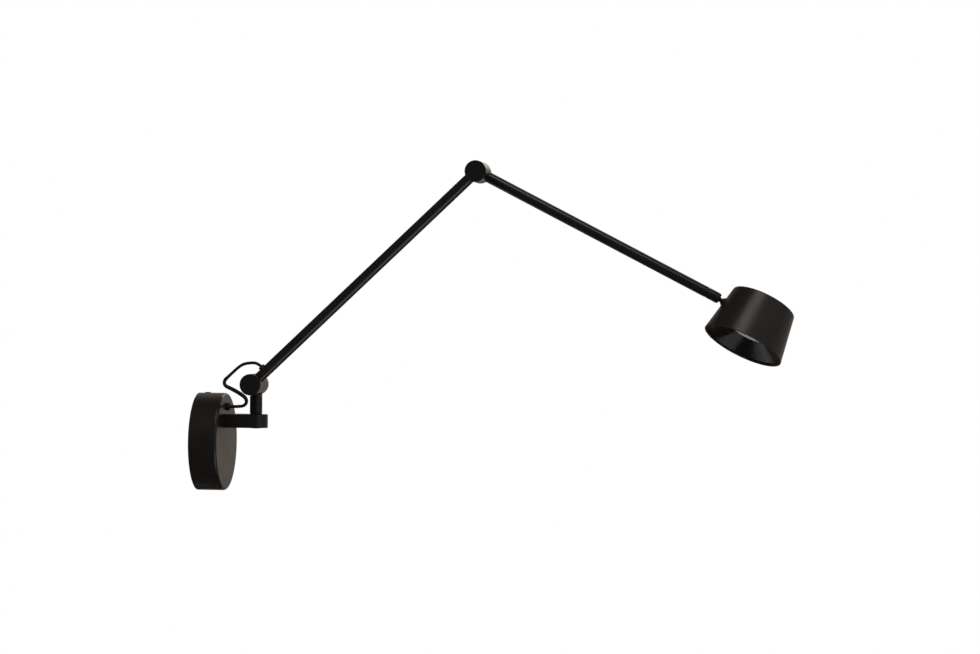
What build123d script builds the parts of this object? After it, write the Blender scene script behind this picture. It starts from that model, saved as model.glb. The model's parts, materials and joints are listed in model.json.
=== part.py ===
from build123d import *

import os
from math import asin, atan, cos, degrees, pi, radians, sin, tan

# Articulating wall lamp, in millimetres. The origin is the centre of the wall plate's back.
# +X points out of the wall, +Z up, and +Y along the wall.

# Fits
FIT = 0.05             # radial play of a turning or threaded fit
GLUE_GAP = 0.1         # radial play of a glued spigot
SEAM = 0.3             # open line between two parts that don't move
HOLE_PLAY = 0.2        # radial play of a screw in its clearance hole
TIP_SHORT = 0.2        # from a screw's tip to the far side of the sheet it is tapped into
ROOT = 1.0             # how far a boss or spigot starts inside what it stands on
CUT = 1.0              # how far a cut runs past a face
KEY_FLATS = 0.64       # hexagon socket across flats, for each millimetre of thread
KEY_DEPTH = 0.6        # hexagon socket depth, for each millimetre of head

# Wall box
cover_d = 110.0
cover_depth = 31.9
cover_wall = 2.0
cover_edge_r = 3.0
plate_t = 2.0
plate_play = 0.4
tab_w = 14.0
tab_t = 2.0
tab_reach = 16.0
hook_reach = 9.0
hook_nib = 0.8
hook_nib_w = 8.0
hook_nib_t = 2.0
wall_screw_spacing = 70.0
wall_screw_hole_d = 5.0
mains_bore_d = 8.0
mains_neck_d = 12.0
mains_flange_d = 16.0
mains_flange_t = 2.5
cover_screw_x = 9.8
cover_screw_head_d = 6.6
cover_screw_head_t = 1.7
cover_screw_proud = 0.7
cover_screw_round = 0.55
cover_screw_d = 4.0
cover_screw_length = 7.0

# Bracket and its bridge
bar_z = 23.7
bar_height = 15.3
bar_width = 27.0
bar_edge = 0.4
post_out = 33.45       # from the cover's face to the post's axis
bridge_t = 2.5
bridge_height = 14.0
bridge_leg_y = 21.0
bridge_foot_end = 34.0
bridge_screw_y = 28.0
bridge_screw_d = 4.0
bridge_screw_head_d = 7.6
bridge_screw_head_t = 2.4
bar_screw_spacing = 15.0
bar_screw_d = 5.0
bar_screw_head_d = 8.5
bar_screw_head_t = 3.2
bar_screw_length = 16.0

# Driver and terminals
driver_width = 48.0
driver_height = 30.0
driver_depth = 18.5
driver_wall = 1.5
driver_z = -28.0
driver_lid_t = 1.5
driver_ear = 7.0
driver_ear_t = 2.0
driver_ear_h = 9.0
driver_screw_d = 3.0
driver_screw_head_d = 5.5
driver_screw_head_t = 2.0
board_t = 1.6
board_lift = 3.5
board_play = 0.6
transformer_size = (15.0, 17.0, 9.0)
capacitor_d = 8.0
capacitor_height = 9.5
capacitor_y = 15.0
capacitor_z = 4.8
choke_d = 9.0
choke_bore_d = 4.5
choke_height = 5.0
choke_y = -15.0
terminal_width = 16.0
terminal_height = 11.0
terminal_depth = 12.0
terminal_y = -19.0
terminal_z = 2.0
terminal_ways = 3
terminal_bore_d = 3.0
terminal_bore_x = 6.0       # from the wall's face
terminal_screw_d = 3.2
terminal_screw_seat = 9.2   # from the wall's face
terminal_screw_length = 3.6
canopy_lead_d = 3.2
canopy_lead_x = 14.0
canopy_lead_y = 8.0
earth_y = 19.0
earth_z = 4.0
earth_screw_d = 4.0
earth_head_d = 8.0
earth_head_t = 2.2

# Swivel
post_d = 14.0
spigot_d = 9.94
bush_wall = 1.2
bush_rim_t = 1.2
bush_rim_proud = 0.45
bush_length = 4.0
shoulder_play = 0.05
pocket_d = 18.0
pocket_depth = 4.5
lower_rim_t = 1.0
lower_rim_d = 15.0
wave_washer_t = 0.85
end_washer_d = 16.0
end_washer_t = 1.5
end_screw_d = 5.0
end_screw_head_d = 11.0
end_screw_head_t = 1.7
end_screw_round = 0.85
end_screw_length = 14.0
end_hole_depth = 15.0
stop_screw_d = 4.0
stop_screw_inset = 1.2
stop_key = 2.0
stop_key_depth = 1.5
stop_bush_gap = 0.4
stop_tip_d = 2.8
stop_tip_reach = 3.75
stop_groove_r = 3.4
stop_play = 0.3
swivel_limit = 75.0
swivel_spare = 4.0

# Barrel joints
pivot_z = 65.3
barrel_d = 24.0
barrel_pitch = 22.5    # between the middles of a joint's two barrels
joint_gap = 0.4
barrel_edge = 0.35
cavity_d = 18.0
web_t = 4.2
cap_t = 2.5
cap_spigot = 1.5
arm_boss_reach = 13.0
post_boss_reach = 13.2
spigot_length = 14.0
post_spigot_length = 9.0
post_socket_depth = 10.0
post_spigot_d = 9.0
axle_d = 8.0
axle_play = 0.1        # radial play of the washers on the axle
axle_head_d = 12.0
axle_head_t = 3.0
axle_bore_d = 4.4
hex_key = 5.0
hex_depth = 2.0
thrust_washer_t = 0.8
friction_washer_d = 20.0
friction_recess = 0.6
spring_d = 15.0
spring_t = 0.5
spring_rise = 0.35
nut_flats = 13.0
nut_t = 2.8

# Arms
tube_d = 12.0
tube_wall = 1.2
lower_arm_length = 348.0
lower_arm_angle = 43.57
upper_arm_length = 300.0    # elbow to ball centre
upper_arm_angle = -27.27
lead_bore_d = 5.0
lead_d = 3.0
grommet_at = 21.6
grommet_d = 7.6
grommet_proud = 2.0
grommet_neck_d = 5.6
grommet_lip = 0.6

# Ball joint at the arm's tip
ball_d = 9.0
ball_play = 0.1
socket_length = 12.0
socket_dome_cut = 3.9
socket_mouth_half_angle = 56.0
ferrule_length = 15.0
ferrule_spigot = 5.3
ferrule_groove = 0.8
ferrule_groove_w = 2.2
ferrule_bore_d = 4.0
grub_d = 2.0
grub_back = 3.0
grub_gap = 0.3
grub_inset = 0.15
seat_length = 3.6
seat_play = 0.02
stem_d = 5.2
stem_tilt = 7.6
head_roll = 17.8
stem_reach = 8.9       # ball centre to the shade's wall
stud_flange_d = 8.4
stud_flange_t = 0.9
stud_cone_t = 1.1
stud_neck_d = 6.0
stud_bore_d = 2.4
stud_bush_rim_d = 10.0
stud_bush_rim_t = 0.8
stud_bush_d = 8.4
stud_bush_tail = 0.5
stud_tail = 0.4
stem_nut_flats = 9.0
stem_nut_t = 2.6

# Head
shade_back_d = 74.0
shade_mouth_d = 92.5
shade_length = 54.5
shade_wall = 2.2
shade_back_t = 2.5
shade_edge_r = 2.0
mouth_lip = 3.2
mouth_lip_depth = 1.8
stem_height = 19.4     # along the head's axis, from its back
reflector_t = 1.2
reflector_rim_w = 1.6
reflector_throat_d = 40.0
reflector_depth = 15.5      # mouth to throat
reflector_collar = 2.6
diffuser_t = 2.0
diffuser_play = 0.3
board_d = 52.0
led_board_t = 1.5
led_array_d = 17.0
led_array_t = 0.9
led_holder_d = 36.0
led_holder_t = 1.6
led_play = 0.5              # round the array and round the screw heads
led_board_drop = 4.2        # behind the diffuser
sink_base_d = 60.0
sink_base_t = 4.0
sink_core_d = 26.0
sink_fin_d = 58.0
sink_fin_t = 1.5
sink_fins = 12
sink_back_gap = 4.5
boss_d = 7.0
boss_circle_d = 48.0
boss_count = 3
head_screw_d = 3.0
head_screw_head_d = 5.4
head_screw_head_t = 1.2
head_screw_length = 8.0
board_screw_circle_d = 44.0

# Flat twin lead, drawn round at the same section
cable_d = 4.2
gland_z = 39.6
gland_d = 9.0
gland_proud = 3.4
gland_edge = 0.9
gland_neck_d = 6.8
gland_tail = 5.4
gland_nut_flats = 11.0
gland_nut_t = 3.0
sheath_socket = 1.6
core_bore_d = 3.2

# Sizes that follow
cover_r = cover_d / 2
post_x = cover_depth + post_out
bar_top = bar_z + bar_height / 2
bar_bottom = bar_z - bar_height / 2
barrel_length = barrel_pitch - joint_gap
tube_r = tube_d / 2
tube_bore_r = tube_r - tube_wall
head_half_angle = degrees(atan((shade_mouth_d - shade_back_d) / 2 / shade_length))

X_AXIS = Vector(1, 0, 0)
Y_AXIS = Vector(0, 1, 0)
Z_AXIS = Vector(0, 0, 1)


def in_arm_plane(angle):
    # Unit vector in the arms' upright plane, the angle counted up from +X.
    return Vector(cos(radians(angle)), 0, sin(radians(angle)))


lower_arm_way = in_arm_plane(lower_arm_angle)
upper_arm_way = in_arm_plane(upper_arm_angle)
pivot = Vector(post_x, 0, pivot_z)
elbow = pivot + lower_arm_way * lower_arm_length
ball = elbow + upper_arm_way * upper_arm_length
near_side = Vector(0, -barrel_pitch, 0)     # the middle of each joint's near barrel

# The head hangs from the ball's stem: the stem leaves the arm's line by its tilt, in a plane that
# the roll turns about the arm.
below_arm = Vector(upper_arm_way.Z, 0, -upper_arm_way.X)
tilt_way = below_arm * cos(radians(head_roll)) - Y_AXIS * sin(radians(head_roll))
stem_way = upper_arm_way * cos(radians(stem_tilt)) + tilt_way * sin(radians(stem_tilt))
stem_across = tilt_way * cos(radians(stem_tilt)) - upper_arm_way * sin(radians(stem_tilt))
half_cos, half_sin = cos(radians(head_half_angle)), sin(radians(head_half_angle))
head_axis = stem_way * half_sin + stem_across * half_cos
head_to_arm = stem_across * half_sin - stem_way * half_cos


def shade_r(height):
    # Outside radius of the shade at a height along its axis.
    return shade_back_d / 2 + height * (shade_mouth_d - shade_back_d) / 2 / shade_length


ball_out = shade_r(stem_height) + stem_reach * half_cos
ball_up = stem_height - stem_reach * half_sin
head_back = ball - head_to_arm * ball_out - head_axis * ball_up
head_frame = Plane(origin=head_back, x_dir=head_to_arm, z_dir=head_axis)
wall_frame = Plane(origin=(0, 0, 0), x_dir=(0, 1, 0), z_dir=(1, 0, 0))
stem_frame = Plane(origin=ball, x_dir=stem_across, z_dir=stem_way)
tip_frame = Plane(origin=ball, x_dir=below_arm, z_dir=upper_arm_way)


def rod(diameter, start, way, length):
    # Round bar from a point along a direction.
    base = Plane(origin=start, z_dir=way)
    return base * Cylinder(diameter / 2, length, align=(Align.CENTER, Align.CENTER, Align.MIN))


def ring(outer_d, inner_d, start, way, length):
    return rod(outer_d, start, way, length) - rod(inner_d, start, way, length)


def block(x_span, y_span, z_span):
    # Box between two values on each axis.
    size = [high - low for low, high in (x_span, y_span, z_span)]
    middle = [(low + high) / 2 for low, high in (x_span, y_span, z_span)]
    return Pos(*middle) * Box(*size)


def hex_prism(flats, start, way, length):
    sketch = RegularPolygon(flats / 2, 6, major_radius=False)
    return Plane(origin=start, z_dir=way) * extrude(sketch, length)


def turned(points):
    # Solid of revolution about Z from an outline of (radius, height) points.
    outline = make_face(Polyline(*[(r, 0, h) for r, h in points], close=True))
    return revolve(outline, Axis.Z)


def screw(thread_d, length, head_d, head_t, seat, way, head_round=0.0):
    # Screw with a round head on its seat; the shank runs along the direction.
    top = seat - way * head_t
    head = rod(head_d, top, way, head_t)
    if head_round:
        head = fillet(head.edges().sort_by(Axis(origin=seat, direction=way))[0], head_round)
    socket = hex_prism(KEY_FLATS * thread_d, top, way, KEY_DEPTH * head_t)
    return head + rod(thread_d - 2 * FIT, seat, way, length) - socket


def group(solids):
    # Separate like solids that share one name.
    return Compound(children=list(solids))


# The wall box

plate_r = cover_r - cover_wall - plate_play
driver_ear_y = driver_width / 2 + driver_ear / 2
terminal_pitch = terminal_width / terminal_ways
cover_inside = cover_depth - cover_wall


def wall_point(y, z, x=0.0):
    return Vector(x, y, z)


def plate_holes():
    # Every hole through the wall plate, as (diameter, y, z).
    holes = [(wall_screw_hole_d, side * wall_screw_spacing / 2, 0) for side in (-1, 1)]
    holes += [(bridge_screw_d, side * bridge_screw_y, bar_z) for side in (-1, 1)]
    holes += [(driver_screw_d, side * driver_ear_y, driver_z) for side in (-1, 1)]
    holes += [(mains_neck_d + 2 * FIT, 0, 0), (earth_screw_d, earth_y, earth_z)]
    return holes


def wall_plate():
    plate = rod(2 * plate_r, wall_point(0, 0), X_AXIS, plate_t)
    for diameter, y, z in plate_holes():
        plate -= rod(diameter, wall_point(y, z), X_AXIS, plate_t)
    tab_top = (plate_r ** 2 - (tab_w / 2) ** 2) ** 0.5
    half = tab_w / 2
    plate += block((0, tab_reach), (-half, half), (tab_top - tab_t, tab_top))
    plate += block((0, hook_reach), (-half, half), (-tab_top, -tab_top + tab_t))
    nib_end = cover_r - cover_wall + hook_nib
    nib_half = hook_nib_w / 2
    plate += block((hook_reach - hook_nib_t, hook_reach), (-nib_half, nib_half), (-nib_end, -tab_top))
    return plate - rod(cover_screw_d, Vector(cover_screw_x, 0, tab_top + CUT), -Z_AXIS, tab_t + 2 * CUT)


def canopy_cover():
    outer = wall_frame * Cylinder(cover_r, cover_depth, align=(Align.CENTER, Align.CENTER, Align.MIN))
    outer = fillet(outer.edges().sort_by(Axis.X)[-1], cover_edge_r)
    inner_r = cover_r - cover_wall
    inner = wall_frame * Cylinder(inner_r, cover_inside, align=(Align.CENTER, Align.CENTER, Align.MIN))
    inner = fillet(inner.edges().sort_by(Axis.X)[-1], cover_edge_r - cover_wall)
    cover = outer - inner
    for side in (-1, 1):
        hole_start = wall_point(side * bar_screw_spacing / 2, bar_z)
        cover -= rod(bar_screw_d + 2 * HOLE_PLAY, hole_start, X_AXIS, cover_depth)
    cover -= rod(gland_neck_d + 2 * FIT, wall_point(0, gland_z), X_AXIS, cover_depth)
    top = Vector(cover_screw_x, 0, cover_r + CUT)
    cover -= rod(cover_screw_d + 2 * HOLE_PLAY, top, -Z_AXIS, cover_wall + 2 * CUT)
    seat_depth = cover_screw_head_t - cover_screw_proud
    cover -= rod(cover_screw_head_d + 2 * FIT, top, -Z_AXIS, CUT + seat_depth)
    nib_room = hook_nib_w / 2 + plate_play
    nib_end = inner_r + hook_nib + FIT
    x_room = (hook_reach - hook_nib_t - plate_play, hook_reach + plate_play)
    return cover - block(x_room, (-nib_room, nib_room), (-nib_end, -inner_r + CUT))


def cover_screw():
    seat = Vector(cover_screw_x, 0, cover_r - cover_screw_head_t + cover_screw_proud)
    head_d, head_t = cover_screw_head_d, cover_screw_head_t
    return screw(cover_screw_d, cover_screw_length, head_d, head_t, seat, -Z_AXIS, cover_screw_round)


def mains_grommet():
    body = ring(mains_neck_d, mains_bore_d, wall_point(0, 0), X_AXIS, plate_t)
    return body + ring(mains_flange_d, mains_bore_d, wall_point(0, 0, plate_t), X_AXIS, mains_flange_t)


def support_bridge():
    low, high = bar_z - bridge_height / 2, bar_z + bridge_height / 2
    web_back = cover_inside - bridge_t
    leg = bridge_leg_y
    body = block((web_back, cover_inside), (-leg, leg), (low, high))
    for side in (-1, 1):
        leg_span = sorted((side * (leg - bridge_t), side * leg))
        foot_span = sorted((side * (leg - bridge_t), side * bridge_foot_end))
        body += block((plate_t, cover_inside), leg_span, (low, high))
        body += block((plate_t, plate_t + bridge_t), foot_span, (low, high))
    outer_bends = body.edges().filter_by(Axis.Z).sort_by(Axis.X)[-2:]
    body = fillet(outer_bends, bridge_t)
    for side in (-1, 1):
        foot_hole = wall_point(side * bridge_screw_y, bar_z, plate_t)
        body -= rod(bridge_screw_d + 2 * HOLE_PLAY, foot_hole, X_AXIS, bridge_t)
        web_hole = wall_point(side * bar_screw_spacing / 2, bar_z, web_back)
        body -= rod(bar_screw_d + 2 * HOLE_PLAY, web_hole, X_AXIS, bridge_t)
    return body


def bridge_screws():
    seat_x = plate_t + bridge_t
    seats = [wall_point(side * bridge_screw_y, bar_z, seat_x) for side in (-1, 1)]
    length = seat_x - TIP_SHORT
    return group(
        screw(bridge_screw_d, length, bridge_screw_head_d, bridge_screw_head_t, seat, -X_AXIS)
        for seat in seats
    )


def bracket_screws():
    seat_x = cover_inside - bridge_t
    seats = [wall_point(side * bar_screw_spacing / 2, bar_z, seat_x) for side in (-1, 1)]
    return group(
        screw(bar_screw_d, bar_screw_length, bar_screw_head_d, bar_screw_head_t, seat, X_AXIS)
        for seat in seats
    )


def bracket_bar():
    half = bar_width / 2
    body = block((cover_depth, post_x), (-half, half), (bar_bottom, bar_top))
    body += rod(bar_width, Vector(post_x, 0, bar_bottom), Z_AXIS, bar_height)
    rims = [edge for edge in body.edges() if abs(edge.center().Z - bar_z) > bar_height / 2 - FIT]
    rims = [edge for edge in rims if edge.center().X > cover_depth + FIT]
    body = chamfer(rims, bar_edge)
    for side in (-1, 1):
        hole_start = wall_point(side * bar_screw_spacing / 2, bar_z, cover_depth)
        body -= rod(bar_screw_d, hole_start, X_AXIS, bar_screw_length - bridge_t)
    body -= rod(bush_d + 2 * FIT, Vector(post_x, 0, bar_bottom), Z_AXIS, bar_height)
    body -= rod(pocket_d, Vector(post_x, 0, bar_bottom), Z_AXIS, pocket_depth)
    return body - rod(stop_screw_d, Vector(post_x, 0, stop_z), Y_AXIS, half)


# The driver, terminals and lead inside the wall box

driver_span_y = (-driver_width / 2, driver_width / 2)
driver_span_z = (driver_z - driver_height / 2, driver_z + driver_height / 2)
driver_front = plate_t + driver_depth


def shrunk(span, amount):
    return (span[0] + amount, span[1] - amount)


def driver_case():
    body = block((plate_t, driver_front), driver_span_y, driver_span_z)
    body = fillet(body.edges().filter_by(Axis.X), driver_wall)
    inside = [shrunk(span, driver_wall) for span in (driver_span_y, driver_span_z)]
    body -= block((plate_t + driver_wall, driver_front), *inside)
    ear_z = (driver_z - driver_ear_h / 2, driver_z + driver_ear_h / 2)
    for side in (-1, 1):
        ear_y = sorted((side * driver_width / 2, side * (driver_width / 2 + driver_ear)))
        ear = block((plate_t, plate_t + driver_ear_t), ear_y, ear_z)
        ear_hole = wall_point(side * driver_ear_y, driver_z, plate_t)
        body += ear - rod(driver_screw_d + 2 * HOLE_PLAY, ear_hole, X_AXIS, driver_ear_t)
    lead_hole = Vector(canopy_lead_x, canopy_lead_y, driver_span_z[1] - 2 * driver_wall)
    return body - rod(canopy_lead_d + 2 * FIT, lead_hole, Z_AXIS, 4 * driver_wall)


def driver_lid():
    lid = block((driver_front, driver_front + driver_lid_t), driver_span_y, driver_span_z)
    return fillet(lid.edges().filter_by(Axis.X), driver_wall)


def driver_board():
    # Circuit board with its transformer, capacitors and choke.
    inside = [shrunk(span, driver_wall + board_play) for span in (driver_span_y, driver_span_z)]
    floor_x = plate_t + driver_wall + board_lift + board_t
    board = block((floor_x - board_t, floor_x), *inside)
    width, height, depth = transformer_size
    z_span = (driver_z - height / 2, driver_z + height / 2)
    transformer = block((floor_x, floor_x + depth), (-width / 2, width / 2), z_span)
    capacitor_places = [wall_point(capacitor_y, driver_z + side * capacitor_z, floor_x) for side in (-1, 1)]
    capacitors = [rod(capacitor_d, place, X_AXIS, capacitor_height) for place in capacitor_places]
    choke = ring(choke_d, choke_bore_d, wall_point(choke_y, driver_z, floor_x), X_AXIS, choke_height)
    return group([board, transformer, choke, *capacitors])


def driver_screws():
    seat_x = plate_t + driver_ear_t
    seats = [wall_point(side * driver_ear_y, driver_z, seat_x) for side in (-1, 1)]
    length = seat_x - TIP_SHORT
    return group(
        screw(driver_screw_d, length, driver_screw_head_d, driver_screw_head_t, seat, -X_AXIS)
        for seat in seats
    )


def terminal_places():
    return [terminal_y + (i - (terminal_ways - 1) / 2) * terminal_pitch for i in range(terminal_ways)]


def terminal_block():
    y_span = (terminal_y - terminal_width / 2, terminal_y + terminal_width / 2)
    z_span = (terminal_z - terminal_height / 2, terminal_z + terminal_height / 2)
    body = block((plate_t, plate_t + terminal_depth), y_span, z_span)
    for y in terminal_places():
        body -= rod(terminal_bore_d, wall_point(y, z_span[0], terminal_bore_x), Z_AXIS, terminal_height)
        screw_hole = wall_point(y, terminal_z, terminal_bore_x)
        body -= rod(terminal_screw_d + 2 * FIT, screw_hole, X_AXIS, terminal_depth)
    return body


def terminal_screws():
    seats = [wall_point(y, terminal_z, terminal_screw_seat) for y in terminal_places()]
    return group(rod(terminal_screw_d, seat, X_AXIS, terminal_screw_length) for seat in seats)


def earth_screw():
    seat = wall_point(earth_y, earth_z, plate_t)
    return screw(earth_screw_d, plate_t - TIP_SHORT, earth_head_d, earth_head_t, seat, -X_AXIS)


def canopy_gland():
    start = wall_point(0, gland_z, cover_depth)
    flange = rod(gland_d, start, X_AXIS, gland_proud)
    flange = fillet(flange.edges().sort_by(Axis.X)[-1], gland_edge)
    neck = rod(gland_neck_d, start - X_AXIS * gland_tail, X_AXIS, gland_tail)
    body = flange + neck
    body -= rod(core_bore_d, start - X_AXIS * gland_tail, X_AXIS, gland_tail + gland_proud)
    return body - rod(cable_d + 2 * FIT, cable_start, X_AXIS, sheath_socket)


def gland_nut():
    start = wall_point(0, gland_z, cover_inside - gland_nut_t)
    nut = hex_prism(gland_nut_flats, start, X_AXIS, gland_nut_t)
    return nut - rod(gland_neck_d + 2 * FIT, start, X_AXIS, gland_nut_t)


# Cords

def corner_radii(points):
    # Each bend is as large as its two runs allow.
    radii = []
    for before, here, after in zip(points, points[1:], points[2:]):
        run_in, run_out = here - before, after - here
        half_turn = radians(run_in.get_angle(run_out)) / 2
        radii.append(0.45 * min(run_in.length, run_out.length) / tan(half_turn))
    return radii


def cord(name, diameter, points):
    radii = corner_radii(points)
    path = FilletPolyline(*points, radius=radii)
    start = Plane(origin=points[0], z_dir=points[1] - points[0])
    solid = sweep(start * Circle(diameter / 2), path)
    expected = pi * diameter ** 2 / 4 * path.length
    print(name, "length", round(path.length, 1), "volume ratio", round(solid.volume / expected, 4))
    print("   radii", [round(r, 1) for r in radii])
    return solid


# The grommet stands square to the lower arm, towards the wall.
cable_start = Vector(cover_depth + gland_proud - sheath_socket, 0, gland_z)
grommet_out = Vector(-lower_arm_way.Z, 0, lower_arm_way.X)
grommet_foot = pivot + near_side + lower_arm_way * grommet_at
grommet_top = tube_r + grommet_proud
cable_end = grommet_foot + grommet_out * (grommet_top - sheath_socket)

# The visible lead is one cord. It is drawn in two lengths that meet beside the post, on a straight
# run between two of its points.
cable_meeting = Vector(51.3, -4.72, 52.02)
cable_lower_points = [
    cable_start,
    Vector(46.0, 0, gland_z),
    Vector(52.3, -0.9, 41.0),
    Vector(55.2, -2.2, 45.1),
    Vector(53.9, -3.6, 49.9),
    cable_meeting,
]
cable_upper_points = [
    cable_meeting,
    Vector(47.4, -6.4, 55.2),
    Vector(37.8, -9.6, 60.5),
    Vector(31.4, -12.0, 63.7),
    Vector(31.4, -13.6, 69.2),
    Vector(37.2, -15.4, 74.4),
    Vector(51.1, -19.4, 86.7),
    Vector(59.8, -21.4, 89.5),
    cable_end + grommet_out * 7.0,
    cable_end,
]


def canopy_lead():
    points = [
        Vector(canopy_lead_x, canopy_lead_y, driver_span_z[1] - driver_wall),
        Vector(canopy_lead_x, canopy_lead_y, 4),
        Vector(13, 4, 22),
        Vector(16, 0, gland_z),
        Vector(cover_depth - gland_tail, 0, gland_z),
    ]
    return cord("canopy_lead", canopy_lead_d, points)


# The post's swivel in the bracket bar

bush_d = spigot_d + 2 * FIT + 2 * bush_wall
bush_bore_d = spigot_d + 2 * FIT
pocket_top = bar_bottom + pocket_depth
end_washer_top = pocket_top - lower_rim_t - wave_washer_t - FIT
stop_z = (pocket_top + bar_top) / 2
post_foot = bar_top + bush_rim_t + shoulder_play
post_top = pivot_z - post_boss_reach - SEAM


def on_post(z):
    return Vector(post_x, 0, z)


def swivel_bush_upper():
    rim = ring(bush_d + 2 * bush_rim_proud, bush_bore_d, on_post(bar_top), Z_AXIS, bush_rim_t)
    return rim + ring(bush_d, bush_bore_d, on_post(bar_top), -Z_AXIS, bush_length)


def swivel_bush_lower():
    rim = ring(lower_rim_d, bush_bore_d, on_post(pocket_top - lower_rim_t), Z_AXIS, lower_rim_t)
    return rim + ring(bush_d, bush_bore_d, on_post(pocket_top), Z_AXIS, bush_length - lower_rim_t)


def swivel_stop_screw():
    body_start = bush_d / 2 + stop_bush_gap
    body_end = bar_width / 2 - stop_screw_inset
    middle = on_post(stop_z)
    body = rod(stop_screw_d - 2 * FIT, middle + Y_AXIS * body_start, Y_AXIS, body_end - body_start)
    body += rod(stop_tip_d, middle + Y_AXIS * stop_tip_reach, Y_AXIS, body_start - stop_tip_reach)
    return body - hex_prism(stop_key, middle + Y_AXIS * body_end, -Y_AXIS, stop_key_depth)


def stop_groove():
    # Part of a ring round the spigot, centred on +Y, that the stop screw's tip runs in.
    height = stop_tip_d + 2 * stop_play
    tip_half = degrees(asin(stop_tip_d / 2 / stop_tip_reach))
    land_half = radians(180 - (swivel_limit + tip_half + swivel_spare))
    groove = ring(spigot_d + CUT, 2 * stop_groove_r, on_post(stop_z - height / 2), Z_AXIS, height)
    far = 2 * spigot_d
    corner_x, corner_y = far * sin(land_half), -far * cos(land_half)
    corners = [(0, 0), (-corner_x, corner_y), (-corner_x, -far), (corner_x, -far), (corner_x, corner_y)]
    land = extrude(Polygon(*corners, align=None), 2 * height)
    return groove - Plane(origin=on_post(stop_z - height)) * land


def post():
    body = rod(post_d, on_post(post_foot), Z_AXIS, post_top - post_foot)
    body = chamfer(body.edges().sort_by(Axis.Z)[0], bar_edge)
    body += rod(spigot_d, on_post(end_washer_top), Z_AXIS, post_foot + ROOT - end_washer_top)
    body -= rod(end_screw_d, on_post(end_washer_top), Z_AXIS, end_hole_depth)
    body -= rod(post_spigot_d + 2 * GLUE_GAP, on_post(post_top), -Z_AXIS, post_socket_depth)
    return body - stop_groove()


def swivel_washers():
    middle = on_post(end_washer_top)
    wave = ring(lower_rim_d, bush_bore_d + 2 * HOLE_PLAY, middle, Z_AXIS, wave_washer_t)
    flat = ring(end_washer_d, end_screw_d + 2 * HOLE_PLAY, middle, -Z_AXIS, end_washer_t)
    return group([wave, flat])


def swivel_screw():
    seat = on_post(end_washer_top - end_washer_t)
    head_d, head_t = end_screw_head_d, end_screw_head_t
    return screw(end_screw_d, end_screw_length, head_d, head_t, seat, Z_AXIS, end_screw_round)


# The barrel joints. A knuckle is made with its barrel along Z: the closed face that meets its
# partner is on +Z, the capped end on -Z, and the boss for the tube or post points along +X.

def knuckle(boss_d, reach, tail_d, tail_length, bore_d=0.0, recess=False):
    half = barrel_length / 2
    middle = Vector(0, 0, 0)
    body = rod(barrel_d, Vector(0, 0, -half + cap_t), Z_AXIS, barrel_length - cap_t)
    body = chamfer(body.edges().sort_by(Axis.Z)[-1], barrel_edge)
    body += rod(boss_d, middle, X_AXIS, reach)
    body += rod(tail_d, Vector(reach - ROOT, 0, 0), X_AXIS, tail_length + ROOT)
    body -= rod(cavity_d, Vector(0, 0, -half), Z_AXIS, barrel_length - web_t)
    body -= rod(axle_d + 2 * FIT, middle, Z_AXIS, half)
    if bore_d:
        body -= rod(bore_d, middle, X_AXIS, reach + tail_length)
    if recess:
        recess_floor = Vector(0, 0, half - friction_recess)
        body -= rod(friction_washer_d + 2 * FIT, recess_floor, Z_AXIS, friction_recess)
    return body


def knuckle_cap():
    half = barrel_length / 2
    disc = rod(barrel_d, Vector(0, 0, -half), Z_AXIS, cap_t)
    disc = chamfer(disc.edges().sort_by(Axis.Z)[0], barrel_edge)
    return disc + rod(cavity_d - 2 * FIT, Vector(0, 0, -half + cap_t), Z_AXIS, cap_spigot)


def near_frame(place, way):
    return Plane(origin=place + near_side, x_dir=way, z_dir=Y_AXIS)


def far_frame(place, way):
    return Plane(origin=place, x_dir=way, z_dir=-Y_AXIS)


def near_knuckle(place, way):
    shape = knuckle(tube_d, arm_boss_reach, tube_tail_d, spigot_length, lead_bore_d, recess=True)
    return near_frame(place, way) * shape


def far_arm_knuckle(place, way):
    return far_frame(place, way) * knuckle(tube_d, arm_boss_reach, tube_tail_d, spigot_length, lead_bore_d)


def far_post_knuckle(place):
    return far_frame(place, -Z_AXIS) * knuckle(post_d, post_boss_reach, post_spigot_d, post_spigot_length)


# Along Y through a joint, counted from the plane where its two barrels meet.
tube_tail_d = 2 * (tube_bore_r - GLUE_GAP)
meet_y = -barrel_pitch / 2
near_web_y = -joint_gap / 2 - web_t
axle_head_y = near_web_y - thrust_washer_t
far_web_y = joint_gap / 2 + web_t
springs_end_y = far_web_y + 2 * (spring_t + spring_rise)


def joint_point(place, y):
    return place + Y_AXIS * (meet_y + y)


def pivot_bolt(place, hollow):
    seat = joint_point(place, axle_head_y)
    length = springs_end_y + nut_t - axle_head_y
    bolt = rod(axle_d, seat, Y_AXIS, length) + rod(axle_head_d, seat, -Y_AXIS, axle_head_t)
    if hollow:
        return bolt - rod(axle_bore_d, seat - Y_AXIS * axle_head_t, Y_AXIS, length + axle_head_t)
    return bolt - hex_prism(hex_key, seat - Y_AXIS * axle_head_t, Y_AXIS, hex_depth)


def pivot_washers(place):
    inner_d = axle_d + 2 * axle_play
    friction_start = joint_point(place, -joint_gap / 2 - friction_recess)
    friction = ring(friction_washer_d, inner_d, friction_start, Y_AXIS, friction_recess + joint_gap)
    thrust = ring(axle_head_d, inner_d, joint_point(place, axle_head_y), Y_AXIS, thrust_washer_t)
    # Two coned spring washers under the nut, small ends together.
    inner_r, outer_r = inner_d / 2, spring_d / 2
    inner_top = spring_rise + spring_t
    cone = turned([(outer_r, 0), (outer_r, spring_t), (inner_r, inner_top), (inner_r, spring_rise)])
    first = Plane(origin=joint_point(place, far_web_y), z_dir=Y_AXIS) * cone
    second = Plane(origin=joint_point(place, springs_end_y), z_dir=-Y_AXIS) * cone
    return group([friction, thrust, first, second])


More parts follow.
